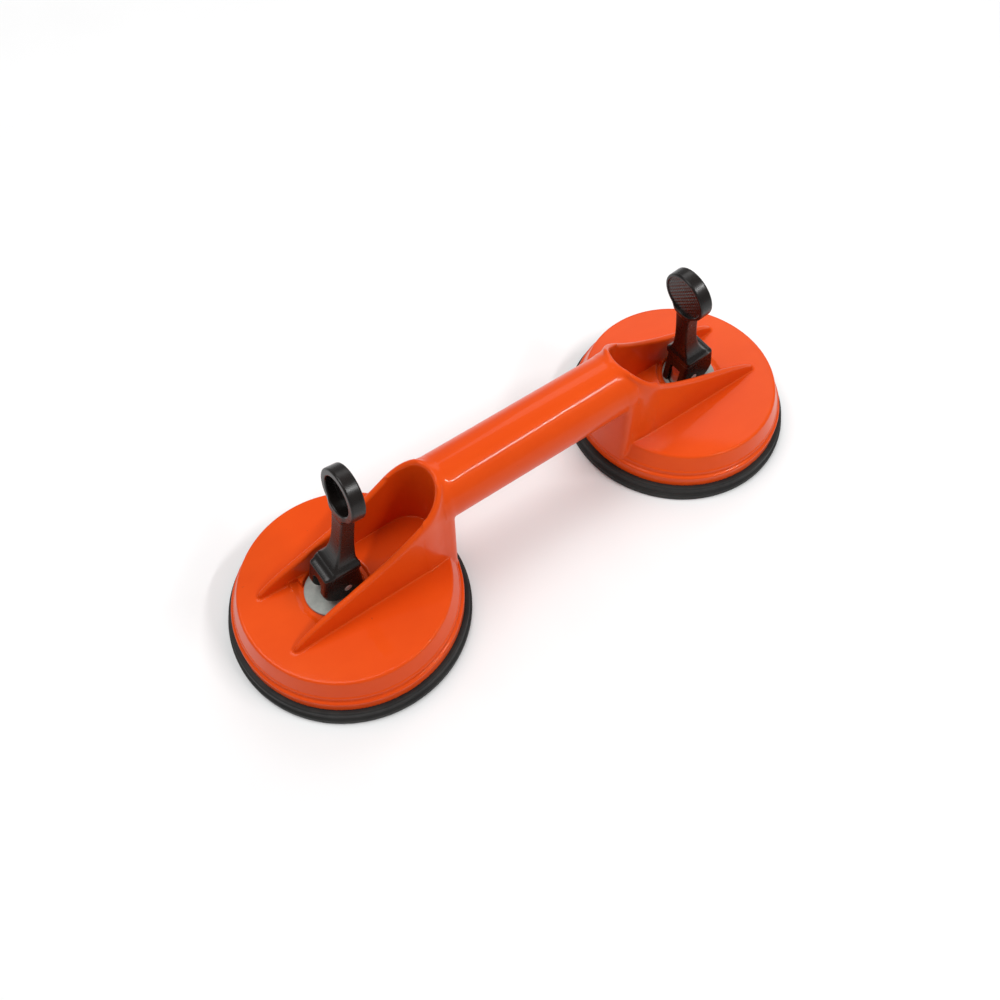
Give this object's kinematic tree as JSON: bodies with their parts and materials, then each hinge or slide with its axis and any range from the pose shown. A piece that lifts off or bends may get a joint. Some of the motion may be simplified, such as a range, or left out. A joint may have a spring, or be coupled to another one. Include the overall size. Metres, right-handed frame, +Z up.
{
  "type": "vacuum suction lifter",
  "caption": "Hand suction lifter: two round rubber vacuum cups under one moulded handle, each locked by a fold-down cam lever.",
  "frame": {"origin": "midway between the two cups, on the plane of their sealing faces", "axes": "+X along the handle towards the right cup, +Z up away from the sealing faces"},
  "size_m": [0.331, 0.12, 0.1116],
  "materials": {
    "orange_plastic": "glossy orange moulding",
    "black_rubber": "matt black moulded rubber",
    "zinc_steel": "zinc plated sheet",
    "stud_steel": "bright drawn steel",
    "washer_steel": "dull grey plated steel",
    "pin_steel": "bright turned steel",
    "black_plastic": "semi-gloss black nylon"
  },
  "bodies": {
    "frame": {"handle_body": "orange_plastic", "suction_disc_left": "black_rubber", "suction_disc_right": "black_rubber", "thrust_washer_left": "washer_steel", "thrust_washer_right": "washer_steel"},
    "stud_left": {"draw_stud_left": "stud_steel", "core_plate_left": "zinc_steel"},
    "stud_right": {"draw_stud_right": "stud_steel", "core_plate_right": "zinc_steel"},
    "lever_left": {"lever_left": "black_plastic", "pivot_pin_left": "pin_steel"},
    "lever_right": {"lever_right": "black_plastic", "pivot_pin_right": "pin_steel"}
  },
  "joints": [
    {"name": "stud_lift_left", "type": "slide", "parent": "frame", "child": "stud_left", "axis": [0, 0, 1], "range_m": [0, 0.0055], "deforming": ["suction_disc_left"]},
    {"name": "lever_fold_left", "type": "hinge", "parent": "stud_left", "child": "lever_left", "pos_m": [-0.107, 0, 0.0354], "axis": [0, -1, 0], "range_deg": [0, 90]},
    {"name": "stud_lift_right", "type": "slide", "parent": "frame", "child": "stud_right", "axis": [0, 0, 1], "range_m": [0, 0.0055], "deforming": ["suction_disc_right"]},
    {"name": "lever_fold_right", "type": "hinge", "parent": "stud_right", "child": "lever_right", "pos_m": [0.107, 0, 0.0354], "axis": [0, 1, 0], "range_deg": [0, 90]}
  ],
  "couplings": [
    {"joint": "stud_lift_left", "follows": "lever_fold_left", "m_per_rad": 0.0035},
    {"joint": "stud_lift_right", "follows": "lever_fold_right", "m_per_rad": 0.0035}
  ]
}
